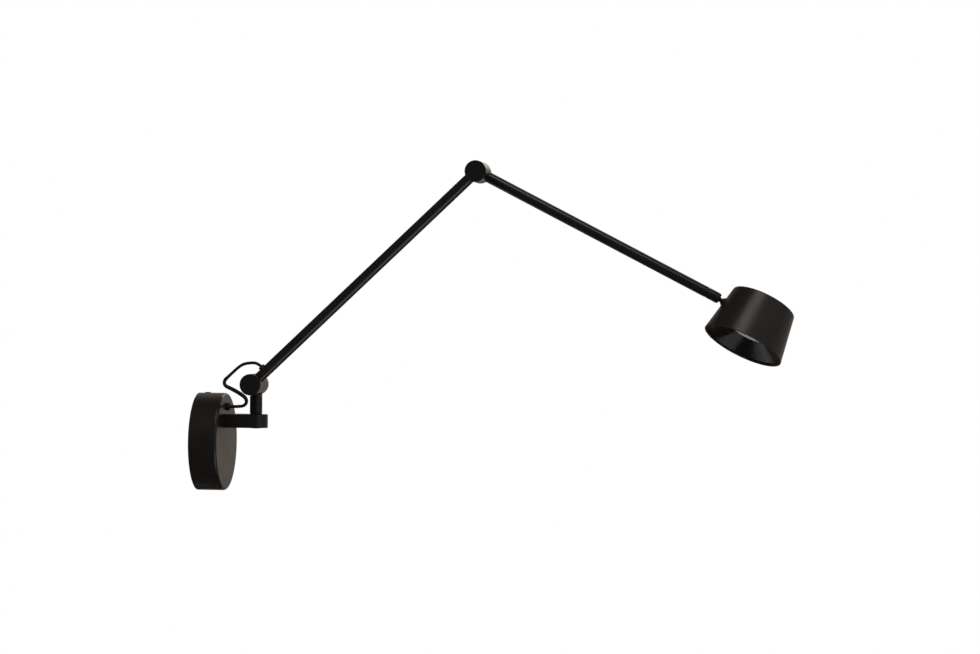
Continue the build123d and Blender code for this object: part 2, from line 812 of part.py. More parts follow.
def pivot_nut(place):
    start = joint_point(place, springs_end_y)
    return hex_prism(nut_flats, start, Y_AXIS, nut_t) - rod(axle_d + 2 * FIT, start, Y_AXIS, nut_t)


# The arms

def arm_tube(start, way, length):
    return ring(tube_d, 2 * tube_bore_r, start, way, length)


def lower_arm_tube():
    inset = arm_boss_reach + SEAM
    start = pivot + near_side + lower_arm_way * inset
    tube = arm_tube(start, lower_arm_way, lower_arm_length - 2 * inset)
    return tube - rod(grommet_neck_d + 2 * FIT, grommet_foot, grommet_out, tube_d)


def lower_arm_knuckle():
    # Its spigot has a side hole where the lead comes in through the grommet.
    side_hole = rod(grommet_neck_d + 2 * FIT, grommet_foot, grommet_out, tube_d)
    return near_knuckle(pivot, lower_arm_way) - side_hole


def arm_grommet():
    collar = rod(grommet_d, grommet_foot, grommet_out, grommet_top)
    top_rim = collar.edges().sort_by(Axis(origin=grommet_foot, direction=grommet_out))[-1]
    collar = fillet(top_rim, grommet_lip)
    collar -= rod(tube_d + 2 * FIT, grommet_foot - lower_arm_way * tube_d, lower_arm_way, 2 * tube_d)
    neck_start = grommet_foot + grommet_out * (tube_bore_r - grommet_lip)
    body = collar + rod(grommet_neck_d, neck_start, grommet_out, tube_wall + 2 * grommet_lip)
    body -= rod(cable_d + 2 * FIT, cable_end, grommet_out, sheath_socket)
    return body - rod(core_bore_d, grommet_foot, grommet_out, grommet_top)


def lower_arm_lead():
    # From the grommet along the tube, through the elbow's near barrel and half-way into its axle.
    foot = grommet_foot + grommet_out * (tube_bore_r - grommet_lip)
    end_y = Y_AXIS * (near_side.Y * -0.5)
    points = [
        foot,
        grommet_foot + lower_arm_way * 2.0,
        grommet_foot + lower_arm_way * 60 + grommet_out * 0.5,
        grommet_foot + lower_arm_way * 180 - grommet_out * 0.4,
        elbow + near_side - lower_arm_way * 45 + grommet_out * 0.3,
        elbow + near_side - lower_arm_way * 9,
        elbow + near_side,
        elbow + near_side + end_y,
    ]
    return cord("lower_arm_lead", lead_d, points)


def upper_arm_tube():
    inset = arm_boss_reach + SEAM
    length = upper_arm_length - socket_length - SEAM - inset
    return arm_tube(elbow + upper_arm_way * inset, upper_arm_way, length)


def upper_arm_lead():
    end_gap = socket_length - ferrule_spigot
    points = [
        elbow + near_side * 0.5,
        elbow,
        elbow + upper_arm_way * 9,
        elbow + upper_arm_way * 70 + below_arm * 0.5,
        elbow + upper_arm_way * 170 - below_arm * 0.4,
        ball - upper_arm_way * 50 + below_arm * 0.3,
        ball - upper_arm_way * end_gap,
    ]
    return cord("upper_arm_lead", lead_d, points)


# The ball joint, made with the ball's centre at the origin and the arm's line along Z

socket_bore_r = ball_d / 2 + ball_play
mouth_r = socket_bore_r * sin(radians(socket_mouth_half_angle))
mouth_h = socket_bore_r * cos(radians(socket_mouth_half_angle))


def from_ball(distance):
    # Point on the upper arm's axis, counted from the ball's centre towards the elbow.
    return Vector(0, 0, -distance)


def tip_ferrule():
    spigot_r = socket_bore_r - FIT
    body = rod(tube_tail_d, from_ball(socket_length), -Z_AXIS, ferrule_length)
    body += rod(2 * spigot_r, from_ball(socket_length), Z_AXIS, ferrule_spigot)
    groove_start = from_ball(socket_length - grub_back + ferrule_groove_w / 2)
    groove_d = 2 * (spigot_r - ferrule_groove)
    body -= ring(2 * socket_bore_r, groove_d, groove_start, Z_AXIS, ferrule_groove_w)
    whole = ferrule_length + ferrule_spigot
    return tip_frame * (body - rod(ferrule_bore_d, from_ball(socket_length + ferrule_length), Z_AXIS, whole))


def ball_socket():
    outside = Sphere(tube_r) + rod(tube_d, from_ball(socket_length - SEAM), Z_AXIS, socket_length - SEAM)
    outside &= rod(2 * tube_d, from_ball(socket_length), Z_AXIS, socket_length + socket_dome_cut)
    inside = Sphere(socket_bore_r) + rod(2 * socket_bore_r, from_ball(socket_length), Z_AXIS, socket_length)
    flare_h = tube_r - mouth_h
    flare_r = mouth_r + flare_h * tan(radians(socket_mouth_half_angle))
    mouth = Pos(0, 0, mouth_h + flare_h / 2) * Cone(mouth_r, flare_r, flare_h)
    grub_hole = rod(grub_d, from_ball(socket_length - grub_back), -X_AXIS, tube_d)
    return tip_frame * (outside - inside - mouth - grub_hole)


def socket_grub():
    tip_r = socket_bore_r - FIT - ferrule_groove + grub_gap
    start = from_ball(socket_length - grub_back) - X_AXIS * tip_r
    return tip_frame * rod(grub_d - 2 * FIT, start, -X_AXIS, tube_r - tip_r - grub_inset)


def ball_seat():
    # Nylon ring behind the ball, hollowed to the ball's curve.
    back = from_ball(socket_length - ferrule_spigot - FIT)
    body = ring(2 * (socket_bore_r - FIT), ferrule_bore_d, back, Z_AXIS, seat_length)
    return tip_frame * (body - Sphere(ball_d / 2 + seat_play))


# The stud and what sits on it are made with the stem along Z.
stud_flange_base = stem_reach - stud_bush_rim_t - FIT - stud_flange_t
wall_inside = stem_reach + shade_wall
bush_end = wall_inside + stud_bush_tail
nut_start = bush_end + FIT
stud_end = nut_start + stem_nut_t + stud_tail


def ball_stud():
    body = Sphere(ball_d / 2) + rod(stem_d, Vector(0, 0, 0), Z_AXIS, stud_flange_base)
    cone_base = stud_flange_base - stud_cone_t
    body += Pos(0, 0, cone_base + stud_cone_t / 2) * Cone(stem_d / 2, stud_flange_d / 2, stud_cone_t)
    body += rod(stud_flange_d, Vector(0, 0, stud_flange_base), Z_AXIS, stud_flange_t)
    body += rod(stud_neck_d, Vector(0, 0, stud_flange_base), Z_AXIS, stud_end - stud_flange_base)
    body -= rod(stud_bore_d, Vector(0, 0, -ball_d), Z_AXIS, ball_d + stud_end)
    relief = Pos(0, 0, -ball_d / 2) * Cone(stud_bore_d, stud_bore_d / 2, ball_d / 3)
    return stem_frame * (body - relief)


def stem_bush():
    rim_start = Vector(0, 0, stem_reach - stud_bush_rim_t)
    bore_d = stud_neck_d + 2 * FIT
    body = ring(stud_bush_rim_d, bore_d, rim_start, Z_AXIS, stud_bush_rim_t)
    return stem_frame * (body + ring(stud_bush_d, bore_d, rim_start, Z_AXIS, bush_end - rim_start.Z))


def stem_nut():
    start = Vector(0, 0, nut_start)
    nut = hex_prism(stem_nut_flats, start, Z_AXIS, stem_nut_t)
    return stem_frame * (nut - rod(stud_neck_d + 2 * FIT, start, Z_AXIS, stem_nut_t))


# The head, made with its axis along Z from the closed back to the mouth

throat_z = shade_length - reflector_depth
diffuser_top = throat_z - FIT
diffuser_d = reflector_throat_d + 2 * reflector_t - 2 * diffuser_play
board_top = diffuser_top - diffuser_t - led_board_drop
sink_front = board_top - led_board_t
sink_back = shade_back_t + sink_back_gap
lip_z = shade_length - mouth_lip_depth
mouth_bore_r = shade_mouth_d / 2 - mouth_lip


def around(count, circle_d, first):
    # Places evenly round the head's axis, from a first angle.
    angles = [radians(first + i * 360 / count) for i in range(count)]
    return [Vector(circle_d / 2 * cos(a), circle_d / 2 * sin(a), 0) for a in angles]


boss_places = around(boss_count, boss_circle_d, 180 / boss_count)
board_screw_places = around(2, board_screw_circle_d, 90)
boss_top = sink_front - sink_base_t
boss_height = boss_top - shade_back_t


def shade():
    outer = turned([(0, 0), (shade_back_d / 2, 0), (shade_mouth_d / 2, shade_length), (0, shade_length)])
    outer = fillet(outer.edges().group_by(Axis.Z)[0], shade_edge_r)
    back_bore_r = shade_r(shade_back_t) - shade_wall
    lip_r = shade_r(lip_z) - shade_wall
    past_mouth = shade_length + CUT
    inner = turned([(0, shade_back_t), (back_bore_r, shade_back_t), (lip_r, lip_z), (mouth_bore_r, lip_z),
                    (mouth_bore_r, past_mouth), (0, past_mouth)])
    body = outer - inner
    for place in boss_places:
        boss = rod(boss_d, place + Z_AXIS * (shade_back_t - ROOT), Z_AXIS, boss_height + ROOT)
        body += boss - rod(head_screw_d, place + Z_AXIS * boss_top, -Z_AXIS, head_screw_length)
    stem_hole = rod(stud_bush_d + 2 * FIT, Vector(0, 0, stem_reach - CUT), Z_AXIS, shade_wall + 2 * CUT)
    return head_frame * body - stem_frame * stem_hole


def heat_sink():
    front = Vector(0, 0, sink_front)
    body = rod(sink_base_d, front, -Z_AXIS, sink_base_t)
    body += rod(sink_core_d, Vector(0, 0, sink_back), Z_AXIS, sink_front - sink_back)
    fin_start = sink_core_d / 2 - ROOT
    fin_length = sink_fin_d / 2 - fin_start
    fin_height = sink_front - sink_base_t - sink_back + ROOT
    fin = Box(fin_length, sink_fin_t, fin_height, align=(Align.MIN, Align.CENTER, Align.MIN))
    for i in range(sink_fins):
        body += Rot(0, 0, (i + 0.5) * 360 / sink_fins) * Pos(fin_start, 0, sink_back) * fin
    for place in boss_places:
        body -= rod(head_screw_d + 2 * HOLE_PLAY, place + front, -Z_AXIS, sink_base_t)
    for place in board_screw_places:
        body -= rod(head_screw_d, place + front, -Z_AXIS, head_screw_length)
    return head_frame * body


def led_board():
    top = Vector(0, 0, board_top)
    body = rod(board_d, top, -Z_AXIS, led_board_t)
    for place in boss_places:
        body -= rod(head_screw_head_d + 2 * led_play, place + top, -Z_AXIS, led_board_t)
    for place in board_screw_places:
        body -= rod(head_screw_d, place + top, -Z_AXIS, led_board_t)
    return head_frame * body


def led_module():
    # Light-emitting disc in the ring that holds it down.
    top = Vector(0, 0, board_top)
    array = rod(led_array_d, top, Z_AXIS, led_array_t)
    holder = ring(led_holder_d, led_array_d + 2 * led_play, top, Z_AXIS, led_holder_t)
    return group(head_frame * solid for solid in (array, holder))


def head_screws():
    # Three hold the heat sink on the shade's bosses and two hold the board on the heat sink.
    seats = [place + Z_AXIS * sink_front for place in boss_places]
    seats += [place + Z_AXIS * board_top for place in board_screw_places]
    head_d, head_t = head_screw_head_d, head_screw_head_t
    return group(
        head_frame * screw(head_screw_d, head_screw_length, head_d, head_t, seat, -Z_AXIS)
        for seat in seats
    )


def diffuser():
    return head_frame * rod(diffuser_d, Vector(0, 0, diffuser_top), -Z_AXIS, diffuser_t)


def reflector():
    throat_r, outer_r = reflector_throat_d / 2, mouth_bore_r - FIT
    flare_r = outer_r - reflector_rim_w
    collar_r = throat_r + reflector_t
    top, bottom = lip_z, throat_z
    profile = [
        (throat_r, bottom), (flare_r, top), (outer_r, top), (outer_r, top - reflector_t),
        (flare_r + reflector_t / 2, top - reflector_t), (collar_r, bottom - reflector_t / 3),
        (collar_r, bottom - reflector_collar), (diffuser_d / 2 + FIT, bottom - reflector_collar),
        (diffuser_d / 2 + FIT, bottom),
    ]
    return head_frame * turned(profile)


# Every piece by name

pieces = {
    "wall_plate": wall_plate(),
    "mains_grommet": mains_grommet(),
    "canopy_cover": canopy_cover(),
    "cover_screw": cover_screw(),
    "support_bridge": support_bridge(),
    "bridge_screws": bridge_screws(),
    "bracket_bar": bracket_bar(),
    "bracket_screws": bracket_screws(),
    "driver_case": driver_case(),
    "driver_lid": driver_lid(),
    "driver_board": driver_board(),
    "driver_screws": driver_screws(),
    "terminal_block": terminal_block(),
    "terminal_screws": terminal_screws(),
    "earth_screw": earth_screw(),
    "canopy_lead": canopy_lead(),
    "canopy_gland": canopy_gland(),
    "gland_nut": gland_nut(),
    "cable_lower": cord("cable_lower", cable_d, cable_lower_points),
    "cable_upper": cord("cable_upper", cable_d, cable_upper_points),
    "swivel_bush_upper": swivel_bush_upper(),
    "swivel_bush_lower": swivel_bush_lower(),
    "swivel_stop_screw": swivel_stop_screw(),
    "post": post(),
    "swivel_washers": swivel_washers(),
    "swivel_screw": swivel_screw(),
    "lower_fixed_knuckle": far_post_knuckle(pivot),
    "lower_fixed_cap": far_frame(pivot, -Z_AXIS) * knuckle_cap(),
    "lower_pivot_bolt": pivot_bolt(pivot, False),
    "lower_pivot_washers": pivot_washers(pivot),
    "lower_pivot_nut": pivot_nut(pivot),
    "lower_arm_knuckle": lower_arm_knuckle(),
    "lower_arm_cap": near_frame(pivot, lower_arm_way) * knuckle_cap(),
    "lower_arm_tube": lower_arm_tube(),
    "arm_grommet": arm_grommet(),
    "lower_arm_lead": lower_arm_lead(),
    "elbow_lower_knuckle": near_knuckle(elbow, -lower_arm_way),
    "elbow_lower_cap": near_frame(elbow, -lower_arm_way) * knuckle_cap(),
    "elbow_upper_knuckle": far_arm_knuckle(elbow, upper_arm_way),
    "elbow_upper_cap": far_frame(elbow, upper_arm_way) * knuckle_cap(),
    "elbow_pivot_bolt": pivot_bolt(elbow, True),
    "elbow_pivot_washers": pivot_washers(elbow),
    "elbow_pivot_nut": pivot_nut(elbow),
    "upper_arm_tube": upper_arm_tube(),
    "upper_arm_lead": upper_arm_lead(),
    "tip_ferrule": tip_ferrule(),
    "ball_socket": ball_socket(),
    "socket_grub": socket_grub(),
    "ball_seat": ball_seat(),
    "ball_stud": ball_stud(),
    "stem_nut": stem_nut(),
    "shade": shade(),
    "stem_bush": stem_bush(),
    "heat_sink": heat_sink(),
    "led_board": led_board(),
    "led_module": led_module(),
    "head_screws": head_screws(),
    "diffuser": diffuser(),
    "reflector": reflector(),
}

os.makedirs("parts", exist_ok=True)
for name, piece in pieces.items():
    export_step(piece, f"parts/{name}.step")
print(len(pieces), "pieces")

tilt_axis = upper_arm_way.cross(tilt_way)
print("pivot", pivot)
print("elbow", elbow)
print("ball", ball)
print("socket turns about", upper_arm_way)
print("ball tilts about", tilt_axis)
print("head turns about", stem_way)
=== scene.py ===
import json
import math

import bpy
from mathutils import Matrix, Vector


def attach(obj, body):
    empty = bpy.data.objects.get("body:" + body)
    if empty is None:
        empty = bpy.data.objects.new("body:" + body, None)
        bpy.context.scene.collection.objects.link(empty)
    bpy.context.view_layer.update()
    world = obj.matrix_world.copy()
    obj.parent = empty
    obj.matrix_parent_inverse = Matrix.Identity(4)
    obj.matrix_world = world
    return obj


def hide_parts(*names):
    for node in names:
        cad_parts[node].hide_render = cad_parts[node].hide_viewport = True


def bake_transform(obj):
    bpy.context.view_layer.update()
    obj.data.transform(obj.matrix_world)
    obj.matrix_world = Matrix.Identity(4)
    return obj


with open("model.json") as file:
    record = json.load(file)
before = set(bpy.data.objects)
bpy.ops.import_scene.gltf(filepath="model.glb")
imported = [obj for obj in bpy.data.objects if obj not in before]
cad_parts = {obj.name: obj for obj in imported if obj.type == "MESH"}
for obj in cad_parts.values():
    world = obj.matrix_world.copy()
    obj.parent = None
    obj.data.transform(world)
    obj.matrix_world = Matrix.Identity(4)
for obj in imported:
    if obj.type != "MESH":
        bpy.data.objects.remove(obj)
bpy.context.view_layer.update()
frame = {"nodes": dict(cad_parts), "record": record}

# Articulating wall lamp. +X comes out of the wall, +Z is up, +Y runs along the wall.

mm = 0.001
world = bpy.context.scene.world or bpy.data.worlds.new("studio")
bpy.context.scene.world = world
bpy.context.scene.view_settings.view_transform = "Standard"

print("camera")

photoCamera = {
    "azimuth": 7.77,        # degrees, turned from along the wall out into the room
    "elevation": 0.22,
    "roll": 0.55,
    "distance": 3.37449,
    "aim": (0.331126, 0.0, 0.132511),
    "lens": 110.93,
    "sensor": 36.0,
    "clip": (0.05, 60),
}


def lookFrom(azimuth, elevation):
    turn, rise = math.radians(azimuth), math.radians(elevation)
    return Vector((math.sin(turn) * math.cos(rise), -math.cos(turn) * math.cos(rise), math.sin(rise)))


def makeCamera(spec):
    back = lookFrom(spec["azimuth"], spec["elevation"])
    turn, roll = math.radians(spec["azimuth"]), math.radians(spec["roll"])
    right = Vector((math.cos(turn), math.sin(turn), 0))
    up = back.cross(right)
    rolledRight = right * math.cos(roll) + up * math.sin(roll)
    rolledUp = up * math.cos(roll) - right * math.sin(roll)
    data = bpy.data.cameras.new("photo_camera")
    data.lens, data.sensor_width, data.sensor_fit = spec["lens"], spec["sensor"], "HORIZONTAL"
    data.clip_start, data.clip_end = spec["clip"]
    holder = bpy.data.objects.new("photo_camera", data)
    turned = Matrix((rolledRight, rolledUp, back)).transposed().to_4x4()
    holder.matrix_world = Matrix.Translation(Vector(spec["aim"]) + back * spec["distance"]) @ turned
    bpy.context.collection.objects.link(holder)
    bpy.context.scene.camera = holder


makeCamera(photoCamera)


def newPiece(name, points, faces, smoothBelow=30):
    # a mesh object with smooth shading and sharp corners above the angle
    mesh = bpy.data.meshes.new(name)
    mesh.from_pydata([tuple(p) for p in points], [], faces)
    mesh.validate()
    mesh.polygons.foreach_set("use_smooth", [True] * len(mesh.polygons))
    mesh.set_sharp_from_angle(angle=math.radians(smoothBelow))
    piece = bpy.data.objects.new(name, mesh)
    bpy.context.collection.objects.link(piece)
    return piece


print("flat twin lead")

flatLead = {
    "width": 5.0 * mm,
    "thickness": 3.2 * mm,
    "sectionPoints": 28,
    "lowerRoute": [              # wall box to the middle of the first run back
        (0.0337, 0.0, 0.0396), (0.046, 0.0, 0.0396), (0.0523, -0.0009, 0.041),
        (0.0552, -0.0022, 0.0451), (0.0539, -0.0036, 0.0499), (0.0513, -0.00472, 0.05202),
    ],
    "upperRoute": [              # on from there, over the joint and into the arm's grommet
        (0.0513, -0.00472, 0.05202), (0.0474, -0.0064, 0.0552), (0.0378, -0.0096, 0.0605),
        (0.0314, -0.012, 0.0637), (0.0314, -0.0136, 0.0692), (0.0372, -0.0154, 0.0744),
        (0.0511, -0.0194, 0.0867), (0.0598, -0.0214, 0.0895), (0.071764, -0.0225, 0.089896),
        (0.076589, -0.0225, 0.084825),
    ],
    # how far the flat side has turned towards the camera, by length gone
    "twist": [(0.0, 16), (0.014, 12), (0.030, 52), (0.045, 58), (0.058, 40), (0.075, 14), (0.12, 0)],
    "swivelBend": ((0.036, 0.0, 0.045), (0.053, 0.0, 0.051)),
    "pivotBend": ((0.05, -0.01, 0.0545), (0.05, -0.01, 0.084)),
    "lineOrder": 3,
    "lineSteps": 14,             # points of the line for each corner of a route
    "sharpAbove": 50,
    "uvPerMetre": 100,
}


def splineLine(name, spec, route):
    # the points of one smooth NURBS line through the route's corners
    curve = bpy.data.curves.new(name, "CURVE")
    curve.dimensions = "3D"
    spline = curve.splines.new("NURBS")
    spline.points.add(len(route) - 1)
    for place, corner in zip(spline.points, route):
        place.co = (*corner, 1)
    spline.order_u = spec["lineOrder"]
    spline.use_endpoint_u = True
    spline.resolution_u = spec["lineSteps"]
    holder = bpy.data.objects.new(name, curve)
    line = bpy.data.meshes.new_from_object(holder)
    points = [vertex.co.copy() for vertex in line.vertices]
    bpy.data.objects.remove(holder)
    return points


def twistAt(table, gone):
    for (low, lowTurn), (high, highTurn) in zip(table, table[1:]):
        if gone <= high:
            part = max(0.0, (gone - low) / (high - low))
            return lowTurn + (highTurn - lowTurn) * part * part * (3 - 2 * part)
    return table[-1][1]


def twinSection(spec):
    # outline of two round cores side by side, as (across the flat, through the flat)
    radius, spread = spec["thickness"] / 2, spec["width"] / 2 - spec["thickness"] / 2
    waist = math.acos(spread / radius)
    half = spec["sectionPoints"] // 2
    outline = []
    for side in (1, -1):
        for i in range(half):
            angle = -(math.pi - waist) + 2 * (math.pi - waist) * i / (half - 1)
            across = side * (spread + radius * math.cos(angle))
            outline.append((across, side * radius * math.sin(angle)))
    return outline


def sweepLead(name, spec, points, gone):
    # carries the section along the points; gone is the length before the first point
    outline = twinSection(spec)
    count = len(outline)
    vertices, faces, lengths = [], [], []
    for i, point in enumerate(points):
        before, after = points[max(i - 1, 0)], points[min(i + 1, len(points) - 1)]
        along = (after - before).normalized()
        gone += (point - before).length
        lengths.append(gone)
        flat = (Vector((0, 1, 0)) - along * along.y).normalized()
        turned = Matrix.Rotation(math.radians(twistAt(spec["twist"], gone)), 3, along)
        flat = turned @ flat
        through = along.cross(flat)
        vertices += [point + flat * u + through * v for u, v in outline]
    for i in range(len(points) - 1):
        for j in range(count):
            k = (j + 1) % count
            faces.append((i * count + j, i * count + k, (i + 1) * count + k, (i + 1) * count + j))
    faces.append(tuple(reversed(range(count))))
    faces.append(tuple(range((len(points) - 1) * count, len(points) * count)))
    piece = newPiece(name, vertices, faces, spec["sharpAbove"])
    around = piece.data.uv_layers.new(name="along_the_lead")
    for face in piece.data.polygons:
        steps = [piece.data.loops[loop].vertex_index % count for loop in face.loop_indices]
        for loop, step in zip(face.loop_indices, steps):
            ring = piece.data.loops[loop].vertex_index // count
            if step == 0 and count - 1 in steps:      # the strip that closes the section
                step = count
            around.data[loop].uv = (lengths[ring] * spec["uvPerMetre"], step / count)
    return piece, gone


lowerLine = splineLine("lead_to_post_line", flatLead, flatLead["lowerRoute"])
upperLine = splineLine("lead_to_arm_line", flatLead, flatLead["upperRoute"])
leadToPost, goneAtPost = sweepLead("lead_to_post", flatLead, lowerLine, 0.0)
leadToArm, goneAtArm = sweepLead("lead_to_arm", flatLead, upperLine, goneAtPost)

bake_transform(leadToPost)
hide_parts("cable_lower")

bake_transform(leadToArm)
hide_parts("cable_upper")
print("  lead is", round(goneAtArm / mm, 1), "mm long outside")


print("head inserts")

headPlace = {
    "back": (0.63573411, 0.00600382, 0.16214516),      # middle of the shade's closed back
    "axis": (-0.40444821, -0.30550294, -0.86202645),   # from the back to the mouth
    "toArm": (-0.90377182, -0.01084307, 0.42787723),
}
ridgedFunnel = {
    "throatRadius": 20.0 * mm,
    "throatHeight": 39.0 * mm,      # from the head's back
    "flareRadius": 41.4 * mm,
    "rimRadius": 43.0 * mm,
    "rimHeight": 52.7 * mm,
    "wall": 1.2 * mm,
    "collar": 2.6 * mm,
    "collarBore": 20.95 * mm,
    "ridgePitch": 1.2 * mm,
    "ridgeDepth": 0.12 * mm,
    "dipAt": 0.72,                  # part of the pitch at which a ridge is deepest
    "segments": 192,
    "sharpAbove": 12,
}


def turnAboutHead(name, outline, segments, smoothBelow):
    # turns a closed outline of (radius, height) points about the head's axis
    across = Vector(headPlace["toArm"])
    axis = Vector(headPlace["axis"])
    side = axis.cross(across)
    vertices, faces = [], []
    for i in range(segments):
        angle = 2 * math.pi * i / segments
        out = across * math.cos(angle) + side * math.sin(angle)
        vertices += [Vector(headPlace["back"]) + out * r + axis * h for r, h in outline]
    count = len(outline)
    for i in range(segments):
        a, b = i * count, (i + 1) % segments * count
        for j in range(count):
            k = (j + 1) % count
            faces.append((a + j, b + j, b + k, a + k))
    return newPiece(name, vertices, faces, smoothBelow)


def funnelOutline(spec):
    rise = spec["rimHeight"] - spec["throatHeight"]
    run = spec["flareRadius"] - spec["throatRadius"]
    slope = math.hypot(rise, run)
    ridges = int(slope / spec["ridgePitch"])
    outward = (rise / slope, -run / slope)      # from the shown side into the wall
    outline = []
    for i in range(ridges + 1):
        part = i / ridges
        crest = (spec["throatRadius"] + run * part, spec["throatHeight"] + rise * part)
        outline.append(crest)
        if i < ridges:
            part = (i + spec["dipAt"]) / ridges
            dip = (spec["throatRadius"] + run * part + outward[0] * spec["ridgeDepth"],
                   spec["throatHeight"] + rise * part + outward[1] * spec["ridgeDepth"])
            outline.append(dip)
    wall, rim, throat = spec["wall"], spec["rimHeight"], spec["throatHeight"]
    outside, foot = spec["throatRadius"] + wall, throat - spec["collar"]
    outline += [
        (spec["rimRadius"], rim), (spec["rimRadius"], rim - wall),
        (spec["flareRadius"] + wall / 2, rim - wall), (outside, throat - wall / 3),
        (outside, foot), (spec["collarBore"], foot), (spec["collarBore"], throat),
    ]
    return outline


funnel = turnAboutHead("ridged_funnel", funnelOutline(ridgedFunnel), ridgedFunnel["segments"],
                       ridgedFunnel["sharpAbove"])
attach(funnel, "head")
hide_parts("reflector")


print("materials")


def toLinear(hexColour):
    channels = [int(hexColour[i:i + 2], 16) / 255 for i in (1, 3, 5)]
    return [c / 12.92 if c <= 0.04045 else ((c + 0.055) / 1.055) ** 2.4 for c in channels] + [1.0]


def addNode(tree, kind, settings=None, links=None):
    # settings go to a socket of that name or number, or else to the node itself
    node = tree.nodes.new(kind)
    for key, value in (settings or {}).items():
        if not isinstance(key, int) and key not in node.inputs.keys():
            setattr(node, key, value)
    for key, value in (settings or {}).items():
        if isinstance(key, int) or key in node.inputs.keys():
            node.inputs[key].default_value = value
    for key, source in (links or {}).items():
        tree.links.new(source, node.inputs[key])
    return node


def newMaterial(name, colour, roughness, **sockets):
    material = bpy.data.materials.new(name)
    material.use_nodes = True
    tree = material.node_tree
    shader = tree.nodes["Principled BSDF"]
    shader.inputs["Base Color"].default_value = toLinear(colour)
    shader.inputs["Roughness"].default_value = roughness
    for socket, value in sockets.items():
        shader.inputs[socket.replace("_", " ")].default_value = value
    return material, tree, shader


def addRelief(tree, shader, height, depth):
    # depth in metres is what a change of 1 in the pattern stands for
    bump = addNode(tree, "ShaderNodeBump", {"Strength": 1.0, "Distance": depth}, {"Height": height})
    tree.links.new(bump.outputs["Normal"], shader.inputs["Normal"])


cloudNoise = {"detail": 3.0, "roughness": 0.55, "low": 0.3, "high": 0.7}


def addBlotches(tree, shader, place, spec):
    # slow change between the light and dark colour, and from the first to the second roughness
    cloud = addNode(tree, "ShaderNodeTexNoise", {"Scale": 1 / spec["blotch"], "Detail": cloudNoise["detail"],
                    "Roughness": cloudNoise["roughness"]}, {"Vector": place})
    shade = addNode(tree, "ShaderNodeMix", {"data_type": "RGBA", 6: toLinear(spec["dark"]),
                    7: toLinear(spec["light"])}, {0: cloud.outputs["Fac"]})
    tree.links.new(shade.outputs[2], shader.inputs["Base Color"])
    gloss = addNode(tree, "ShaderNodeMapRange", {
        "From Min": cloudNoise["low"], "From Max": cloudNoise["high"],
        "To Min": spec["rough"][0], "To Max": spec["rough"][1]}, {"Value": cloud.outputs["Fac"]})
    tree.links.new(gloss.outputs["Result"], shader.inputs["Roughness"])


def objectPlace(tree):
    return addNode(tree, "ShaderNodeTexCoord").outputs["Object"]


def fromAxis(tree, point, axis):
    # distance of the surface from an axis, for rings left by turning
    offset = addNode(tree, "ShaderNodeVectorMath", {"operation": "SUBTRACT", 1: point},
                     {0: objectPlace(tree)})
    crossed = addNode(tree, "ShaderNodeVectorMath", {"operation": "CROSS_PRODUCT", 1: axis},
                      {0: offset.outputs["Vector"]})
    return addNode(tree, "ShaderNodeVectorMath", {"operation": "LENGTH"},
                   {0: crossed.outputs["Vector"]}).outputs["Value"]


def rings(tree, distance, pitch):
    # from -1 to 1 and back once for each pitch
    turns = addNode(tree, "ShaderNodeMath", {"operation": "MULTIPLY", 1: 2 * math.pi / pitch},
                    {0: distance})
    return addNode(tree, "ShaderNodeMath", {"operation": "SINE"}, {0: turns.outputs[0]}).outputs[0]


# the sheen is faintly warm, as the film's highlights are
armFinish = {"light": "#161413", "dark": "#100f0e", "blotch": 26 * mm, "rough": (0.26, 0.32),
             "sheen": "#fff8f2"}
coverFinish = {"light": "#171615", "dark": "#11100f", "blotch": 26 * mm, "rough": (0.27, 0.34),
               "sheen": "#fff5ec"}
shadeFinish = {"light": "#191614", "dark": "#131110", "blotch": 26 * mm, "rough": (0.29, 0.35),
               "sheen": "#fff8f2"}
orangePeel = {
    "size": 0.9 * mm,        # really 0.3 to 0.6 mm; drawn coarser so that it shows
    "depth": 0.006 * mm,
    "detail": 1.5,
    "roughness": 0.4,
}


def satinPowderCoat(name, spec):
    # polyester powder, sprayed and baked: an even satin black whose faint orange peel
    # breaks up the highlights
    material, tree, shader = newMaterial(name, spec["light"], spec["rough"][0], IOR=1.5,
                                         Specular_Tint=toLinear(spec["sheen"]))
    place = objectPlace(tree)
    addBlotches(tree, shader, place, spec)
    peel = addNode(tree, "ShaderNodeTexNoise", {"Scale": 1 / orangePeel["size"],
                   "Detail": orangePeel["detail"], "Roughness": orangePeel["roughness"]}, {"Vector": place})
    addRelief(tree, shader, peel.outputs["Fac"], orangePeel["depth"])
    return material


# grains, rings and lines below are coarser than the real 0.05 to 0.3 mm, so that they show

blackedSteel = {"light": "#2a2826", "dark": "#1c1b1a", "blotch": 3 * mm, "rough": (0.36, 0.5),
                "grain": 0.8 * mm, "depth": 0.006 * mm}


def makeBlackedSteel(spec):
    # machine screws blackened in hot salts: dark metal with a dry, slightly grey bloom
    material, tree, shader = newMaterial("black_oxide_steel", spec["light"], 0.42, Metallic=1.0)
    place = objectPlace(tree)
    addBlotches(tree, shader, place, spec)
    grain = addNode(tree, "ShaderNodeTexNoise", {"Scale": 1 / spec["grain"]}, {"Vector": place})
    addRelief(tree, shader, grain.outputs["Fac"], spec["depth"])
    return material


zincPlate = {"light": "#cfcdc4", "dark": "#aeb2b4", "blotch": 7 * mm, "rough": (0.24, 0.36),
             "brush": 0.5 * mm, "stretch": (1.0, 1.0, 0.06), "depth": 0.004 * mm}


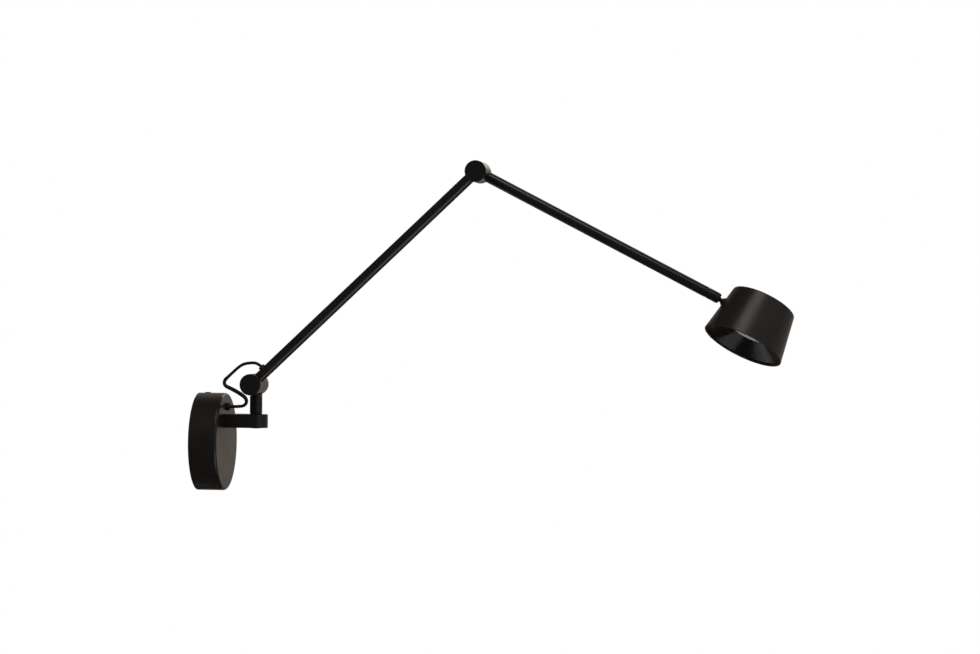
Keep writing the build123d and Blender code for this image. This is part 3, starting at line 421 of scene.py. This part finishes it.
def makeZincPlate(spec):
    # bright zinc on rolled steel: silvery, with bluish and straw patches and faint rolling lines
    material, tree, shader = newMaterial("zinc_plated_steel", spec["light"], 0.3, Metallic=1.0)
    place = objectPlace(tree)
    addBlotches(tree, shader, place, spec)
    stretched = addNode(tree, "ShaderNodeMapping", {"Scale": spec["stretch"]}, {"Vector": place})
    lines = addNode(tree, "ShaderNodeTexNoise", {"Scale": 1 / spec["brush"], "Detail": 2.0},
                    {"Vector": stretched.outputs["Vector"]})
    addRelief(tree, shader, lines.outputs["Fac"], spec["depth"])
    return material


mouldedNylon = {"light": "#191919", "dark": "#131313", "blotch": 5 * mm, "rough": (0.5, 0.62),
                "grain": 0.7 * mm, "depth": 0.015 * mm}


def makeMouldedNylon(spec):
    # glass-filled nylon from a spark-eroded mould: a dry matt black with a fine even grain
    material, tree, shader = newMaterial("moulded_black_nylon", spec["light"], 0.55, IOR=1.53)
    place = objectPlace(tree)
    addBlotches(tree, shader, place, spec)
    grain = addNode(tree, "ShaderNodeTexVoronoi", {"Scale": 1 / spec["grain"]}, {"Vector": place})
    addRelief(tree, shader, grain.outputs["Distance"], spec["depth"])
    return material


turnedAcetal = {"light": "#e9e5dc", "dark": "#ddd8cc", "blotch": 4 * mm, "rough": (0.3, 0.42),
                "pitch": 0.5 * mm, "depth": 0.006 * mm}


def makeTurnedAcetal(spec):
    # acetal turned on a lathe: waxy white, with the tool's rings
    material, tree, shader = newMaterial("turned_white_acetal", spec["light"], 0.35, IOR=1.48,
                                         Subsurface_Weight=0.1, Subsurface_Scale=1 * mm)
    place = objectPlace(tree)
    addBlotches(tree, shader, place, spec)
    height = addNode(tree, "ShaderNodeSeparateXYZ", None, {"Vector": place}).outputs["Z"]
    addRelief(tree, shader, rings(tree, height, spec["pitch"]), spec["depth"])
    return material


mouldedRubber = {"light": "#161616", "dark": "#0f0f0f", "blotch": 6 * mm, "rough": (0.7, 0.82),
                 "grain": 0.6 * mm, "depth": 0.02 * mm}


def makeMouldedRubber(spec):
    # vulcanised rubber: dull black with a soft dusty bloom
    material, tree, shader = newMaterial("moulded_black_rubber", spec["light"], 0.75, IOR=1.52,
                                         Sheen_Weight=0.15, Sheen_Roughness=0.5)
    place = objectPlace(tree)
    addBlotches(tree, shader, place, spec)
    grain = addNode(tree, "ShaderNodeTexNoise", {"Scale": 1 / spec["grain"], "Detail": 4.0},
                    {"Vector": place})
    addRelief(tree, shader, grain.outputs["Fac"], spec["depth"])
    return material


softJacket = {"light": "#0d0d0d", "dark": "#080808", "blotch": 9 * mm, "rough": (0.38, 0.5),
              "grain": 0.9 * mm, "depth": 0.02 * mm, "dieLines": 34, "lineDepth": 0.008 * mm}


def makeSoftJacket(spec):
    # plasticised PVC, extruded over the cores: deep black, a soft gloss and faint lines from the die
    material, tree, shader = newMaterial("extruded_black_pvc", spec["light"], 0.42, IOR=1.53)
    place = objectPlace(tree)
    addBlotches(tree, shader, place, spec)
    around = addNode(tree, "ShaderNodeSeparateXYZ", None,
                     {"Vector": addNode(tree, "ShaderNodeTexCoord").outputs["UV"]}).outputs["Y"]
    lines = rings(tree, around, 1 / spec["dieLines"])
    grain = addNode(tree, "ShaderNodeTexNoise", {"Scale": 1 / spec["grain"], "Detail": 2.0},
                    {"Vector": place})
    first = addNode(tree, "ShaderNodeBump", {"Strength": 1.0, "Distance": spec["lineDepth"]},
                    {"Height": lines})
    second = addNode(tree, "ShaderNodeBump", {"Strength": 1.0, "Distance": spec["depth"]},
                     {"Height": grain.outputs["Fac"], "Normal": first.outputs["Normal"]})
    tree.links.new(second.outputs["Normal"], shader.inputs["Normal"])
    return material


caseShell = {"light": "#dedfdb", "dark": "#d2d2cd", "blotch": 12 * mm, "rough": (0.45, 0.55),
             "grain": 0.8 * mm, "depth": 0.02 * mm}


def makeCaseShell(spec):
    # polycarbonate from a textured mould: matt off-white with a fine pebble
    material, tree, shader = newMaterial("moulded_white_polycarbonate", spec["light"], 0.5, IOR=1.585)
    place = objectPlace(tree)
    addBlotches(tree, shader, place, spec)
    grain = addNode(tree, "ShaderNodeTexVoronoi", {"Scale": 1 / spec["grain"]}, {"Vector": place})
    addRelief(tree, shader, grain.outputs["Distance"], spec["depth"])
    return material


solderMask = {"mask": "#14562b", "overCopper": "#2b7a41", "track": 1.6 * mm, "tracksPerTile": 6,
              "trackPart": 0.03, "depth": 0.035 * mm}


def makeSolderMask(spec):
    # green solder mask over copper: glossy, paler and raised where a track runs under it
    material, tree, shader = newMaterial("green_solder_mask", spec["mask"], 0.3, IOR=1.5)
    place = objectPlace(tree)
    tracks = addNode(tree, "ShaderNodeTexBrick", {
        "Scale": 1 / (spec["tracksPerTile"] * spec["track"]), "Mortar Size": spec["trackPart"],
        "Color1": (0, 0, 0, 1), "Color2": (0, 0, 0, 1), "Mortar": (1, 1, 1, 1)}, {"Vector": place})
    shade = addNode(tree, "ShaderNodeMix", {"data_type": "RGBA", 6: toLinear(spec["mask"]),
                    7: toLinear(spec["overCopper"])}, {0: tracks.outputs["Color"]})
    tree.links.new(shade.outputs[2], shader.inputs["Base Color"])
    addRelief(tree, shader, tracks.outputs["Color"], spec["depth"])
    return material


terminalBody = {"light": "#dcd8cc", "dark": "#cfcabc", "blotch": 5 * mm, "rough": (0.36, 0.5),
                "grain": 0.6 * mm, "depth": 0.015 * mm}


def makeTerminalBody(spec):
    # natural polyamide: milky cream, faintly translucent
    material, tree, shader = newMaterial("moulded_cream_polyamide", spec["light"], 0.42, IOR=1.53,
                                         Subsurface_Weight=0.15, Subsurface_Scale=1.5 * mm)
    place = objectPlace(tree)
    addBlotches(tree, shader, place, spec)
    grain = addNode(tree, "ShaderNodeTexNoise", {"Scale": 1 / spec["grain"]}, {"Vector": place})
    addRelief(tree, shader, grain.outputs["Fac"], spec["depth"])
    return material


turnedBrass = {"light": "#d3b264", "dark": "#b8923f", "blotch": 2.5 * mm, "rough": (0.22, 0.36),
               "pitch": 0.4 * mm, "depth": 0.005 * mm}


def makeTurnedBrass(spec):
    # free-cutting brass: warm yellow metal with turning rings and the first brown tarnish
    material, tree, shader = newMaterial("turned_brass", spec["light"], 0.28, Metallic=1.0)
    place = objectPlace(tree)
    addBlotches(tree, shader, place, spec)
    out = addNode(tree, "ShaderNodeSeparateXYZ", None, {"Vector": place}).outputs["X"]
    addRelief(tree, shader, rings(tree, out, spec["pitch"]), spec["depth"])
    return material


machinedAluminium = {"light": "#cdced0", "dark": "#b7b9bc", "blotch": 8 * mm, "rough": (0.26, 0.4),
                     "pitch": 0.6 * mm, "depth": 0.006 * mm}


def makeMachinedAluminium(spec):
    # machined aluminium: cool grey metal with the cutter's rings about the head's axis
    material, tree, shader = newMaterial("machined_aluminium", spec["light"], 0.32, Metallic=1.0)
    addBlotches(tree, shader, objectPlace(tree), spec)
    distance = fromAxis(tree, headPlace["back"], headPlace["axis"])
    addRelief(tree, shader, rings(tree, distance, spec["pitch"]), spec["depth"])
    return material


blackAnodised = {"light": "#1f1f20", "dark": "#161617", "blotch": 4 * mm, "rough": (0.44, 0.56),
                 "pitch": 0.5 * mm, "depth": 0.005 * mm}


def makeBlackAnodised(spec):
    # turned aluminium dyed black in its oxide skin: a dry dark grey with the lathe's rings
    material, tree, shader = newMaterial("black_anodised_aluminium", spec["light"], 0.5, Metallic=1.0)
    place = objectPlace(tree)
    addBlotches(tree, shader, place, spec)
    out = addNode(tree, "ShaderNodeSeparateXYZ", None, {"Vector": place}).outputs["X"]
    addRelief(tree, shader, rings(tree, out, spec["pitch"]), spec["depth"])
    return material


phosphorDisc = {"yellow": "#d9b23a", "holder": "#e6e6e2", "radius": 8.7 * mm, "grain": 0.5 * mm,
                "depth": 0.02 * mm}


def makePhosphorDisc(spec):
    # silicone gel with phosphor over the chips, in a white moulded holder: mustard yellow,
    # slightly orange-peeled, with a satin skin
    material, tree, shader = newMaterial("phosphor_gel_in_white_holder", spec["yellow"], 0.38, IOR=1.41)
    distance = fromAxis(tree, headPlace["back"], headPlace["axis"])
    outside = addNode(tree, "ShaderNodeMath", {"operation": "GREATER_THAN", 1: spec["radius"]},
                      {0: distance})
    shade = addNode(tree, "ShaderNodeMix", {"data_type": "RGBA", 6: toLinear(spec["yellow"]),
                    7: toLinear(spec["holder"])}, {0: outside.outputs[0]})
    tree.links.new(shade.outputs[2], shader.inputs["Base Color"])
    grain = addNode(tree, "ShaderNodeTexNoise", {"Scale": 1 / spec["grain"]},
                    {"Vector": objectPlace(tree)})
    addRelief(tree, shader, grain.outputs["Fac"], spec["depth"])
    return material


glareFunnel = {"light": "#0c0c0c", "dark": "#070707", "blotch": 14 * mm, "rough": (0.2, 0.28),
               "grain": 0.7 * mm, "depth": 0.002 * mm}


def makeGlareFunnel(spec):
    # black polycarbonate anti-glare funnel: its moulded ridges catch thin grey rings of light
    material, tree, shader = newMaterial("moulded_black_polycarbonate", spec["light"], 0.24, IOR=1.585)
    place = objectPlace(tree)
    addBlotches(tree, shader, place, spec)
    grain = addNode(tree, "ShaderNodeTexNoise", {"Scale": 1 / spec["grain"]}, {"Vector": place})
    addRelief(tree, shader, grain.outputs["Fac"], spec["depth"])
    return material


opalSheet = {"light": "#b2b2ae", "dark": "#a6a6a2", "blotch": 10 * mm, "rough": (0.3, 0.4),
             "prism": 1.3 * mm, "depth": 0.12 * mm}


def makeOpalSheet(spec):
    # opal acrylic with a fine prism pattern: milky white that looks grey while the lamp is off
    material, tree, shader = newMaterial("prismatic_opal_acrylic", spec["light"], 0.35, IOR=1.49,
                                         Subsurface_Weight=0.2, Subsurface_Scale=1.5 * mm)
    place = objectPlace(tree)
    addBlotches(tree, shader, place, spec)
    prisms = addNode(tree, "ShaderNodeTexVoronoi", {"Scale": 1 / spec["prism"], "distance": "CHEBYCHEV",
                     "Randomness": 0.0}, {"Vector": place})
    addRelief(tree, shader, prisms.outputs["Distance"], spec["depth"])
    return material


slotMaterials = {
    "arm_coat": satinPowderCoat("satin_black_powder_coat", armFinish),
    "cover_coat": satinPowderCoat("satin_brown_black_powder_coat", coverFinish),
    "shade_coat": satinPowderCoat("satin_black_shade_coat", shadeFinish),
    "black_screw": makeBlackedSteel(blackedSteel),
    "zinc_steel": makeZincPlate(zincPlate),
    "black_nylon": makeMouldedNylon(mouldedNylon),
    "white_acetal": makeTurnedAcetal(turnedAcetal),
    "black_rubber": makeMouldedRubber(mouldedRubber),
    "cable_jacket": makeSoftJacket(softJacket),
    "case_plastic": makeCaseShell(caseShell),
    "board": makeSolderMask(solderMask),
    "terminal_plastic": makeTerminalBody(terminalBody),
    "brass": makeTurnedBrass(turnedBrass),
    "aluminium": makeMachinedAluminium(machinedAluminium),
    "black_anodised": makeBlackAnodised(blackAnodised),
    "led_phosphor": makePhosphorDisc(phosphorDisc),
    "reflector_black": makeGlareFunnel(glareFunnel),
    "diffuser_white": makeOpalSheet(opalSheet),
}

slotOfNode = {row["node"]: row["material_slot"] for row in frame["record"]["subparts"]}
for nodeName, node in frame["nodes"].items():
    material = slotMaterials[slotOfNode[nodeName]]
    node.data.materials.clear()
    node.data.materials.append(material)
for piece, slotName in ((leadToPost, "cable_jacket"), (leadToArm, "cable_jacket"),
                        (funnel, "reflector_black")):
    piece.data.materials.append(slotMaterials[slotName])
print("  dressed", len(frame["nodes"]), "nodes with", len(slotMaterials), "materials")


print("studio")

studio = {
    "ambient": 0.3,           # what diffuse surfaces see of the room
    "glossDim": 0.03,         # what shiny surfaces see of the dark part of the room
    "glossBackdrop": 0.35,    # and of the white backdrop, which looks warm in a grazing reflection
    "glossTint": "#fff0e3",
    "backdropWay": (0.25, 0.92, 0.3), # where the backdrop's middle is, from the lamp
    "backdropEdge": (0.5, 0.94),      # cosines from that way between which the backdrop fades in
    "floorHeight": -0.9,
    "floorRadius": 3.2,
    "floorCorners": 96,
    "floorFade": (1.0, 2.6),
    "middle": (0.33, 0.0, 0.13),
    "lamps": {
        # name: direction, distance, size, power, seen in reflections
        "top_softbox": ((0.17, -0.47, 0.866), 2.2, (1.0, 1.0), 7.5, True),
        "right_panel": ((0.74, -0.615, 0.27), 2.5, (2.6, 3.4), 7.3, True),
        "side_panel": ((0.95, 0.165, 0.26), 2.5, (1.9, 3.4), 4.0, True),
        "low_panel": ((0.507, -0.493, -0.707), 1.25, (1.0, 1.0), 4.0, True),
        "front_fill": ((-0.45, -0.8, 0.55), 2.6, (1.6, 1.6), 30.0, False),
        "back_fill": ((0.2, 0.9, 0.5), 2.6, (1.6, 1.6), 8.0, True),
        "wall_side_panel": ((-0.8, 0.3, -0.5), 1.8, (1.6, 1.6), 4.0, True),
        "top_fill": ((0.1, -0.1, 1.0), 2.4, (1.6, 1.6), 14.0, False),
    },
}


def makeWorld(spec):
    world.use_nodes = True
    tree = world.node_tree
    tree.nodes.clear()
    rays = addNode(tree, "ShaderNodeLightPath")
    heading = addNode(tree, "ShaderNodeTexCoord").outputs["Generated"]
    facing = addNode(tree, "ShaderNodeVectorMath", {"operation": "DOT_PRODUCT", 1: spec["backdropWay"]},
                     {0: heading}).outputs["Value"]
    backdrop = addNode(tree, "ShaderNodeMapRange", {"interpolation_type": "SMOOTHSTEP",
                       "From Min": spec["backdropEdge"][0], "From Max": spec["backdropEdge"][1],
                       "To Min": spec["glossDim"], "To Max": spec["glossBackdrop"]}, {"Value": facing})
    lit = addNode(tree, "ShaderNodeMix", {"data_type": "FLOAT", 2: spec["ambient"]},
                  {0: rays.outputs["Is Glossy Ray"], 3: backdrop.outputs["Result"]})
    seen = addNode(tree, "ShaderNodeMath", {"operation": "MAXIMUM"},
                   {0: rays.outputs["Is Camera Ray"], 1: rays.outputs["Is Transmission Ray"]})
    strength = addNode(tree, "ShaderNodeMix", {"data_type": "FLOAT", 3: 1.0},
                       {0: seen.outputs[0], 2: lit.outputs[0]})
    tint = addNode(tree, "ShaderNodeMix", {"data_type": "RGBA", 6: (1, 1, 1, 1),
                   7: toLinear(spec["glossTint"])}, {0: rays.outputs["Is Glossy Ray"]})
    shader = addNode(tree, "ShaderNodeBackground", None,
                     {"Color": tint.outputs[2], "Strength": strength.outputs[0]})
    addNode(tree, "ShaderNodeOutputWorld", None, {"Surface": shader.outputs[0]})


def makeLamp(name, heading, distance, size, power, inReflections):
    data = bpy.data.lights.new(name, "AREA")
    data.shape, data.size, data.size_y, data.energy = "RECTANGLE", size[0], size[1], power
    lamp = bpy.data.objects.new(name, data)
    heading = Vector(heading).normalized()
    lamp.location = Vector(studio["middle"]) + heading * distance
    lamp.rotation_mode = "QUATERNION"
    lamp.rotation_quaternion = (-heading).to_track_quat("-Z", "Y")
    lamp.visible_camera = False
    lamp.visible_glossy = inReflections
    bpy.context.collection.objects.link(lamp)


paleBoard = {"light": "#e8e7e4", "dark": "#e3e2de", "blotch": 400 * mm, "rough": (0.75, 0.85)}


def makeFloor(spec):
    count, radius = spec["floorCorners"], spec["floorRadius"]
    corners = []
    for i in range(count):
        angle = 2 * math.pi * i / count
        corners.append((radius * math.cos(angle), radius * math.sin(angle), spec["floorHeight"]))
    floor = newPiece("floor", corners, [tuple(range(count))])
    floor.visible_glossy = False
    # painted board: pale and matt, fading into the white room towards its edge
    material, tree, shader = newMaterial("matt_pale_board", paleBoard["light"], 0.8)
    place = objectPlace(tree)
    addBlotches(tree, shader, place, paleBoard)
    flatPlace = addNode(tree, "ShaderNodeVectorMath", {"operation": "MULTIPLY", 1: (1, 1, 0)},
                        {0: place})
    away = addNode(tree, "ShaderNodeVectorMath", {"operation": "LENGTH"},
                   {0: flatPlace.outputs["Vector"]})
    fade = addNode(tree, "ShaderNodeMapRange", {"interpolation_type": "SMOOTHSTEP",
                   "From Min": spec["floorFade"][0], "From Max": spec["floorFade"][1]},
                   {"Value": away.outputs["Value"]})
    seen = addNode(tree, "ShaderNodeLightPath").outputs["Is Camera Ray"]
    part = addNode(tree, "ShaderNodeMath", {"operation": "MULTIPLY"},
                   {0: fade.outputs["Result"], 1: seen})
    glow = addNode(tree, "ShaderNodeEmission", {"Color": (1, 1, 1, 1), "Strength": 1.0})
    mixed = addNode(tree, "ShaderNodeMixShader", None,
                    {0: part.outputs[0], 1: shader.outputs[0], 2: glow.outputs[0]})
    tree.links.new(mixed.outputs[0], tree.nodes["Material Output"].inputs["Surface"])
    floor.data.materials.append(material)


makeWorld(studio)
for lampName, lampSpec in studio["lamps"].items():
    makeLamp(lampName, *lampSpec)
makeFloor(studio)

print("finish")
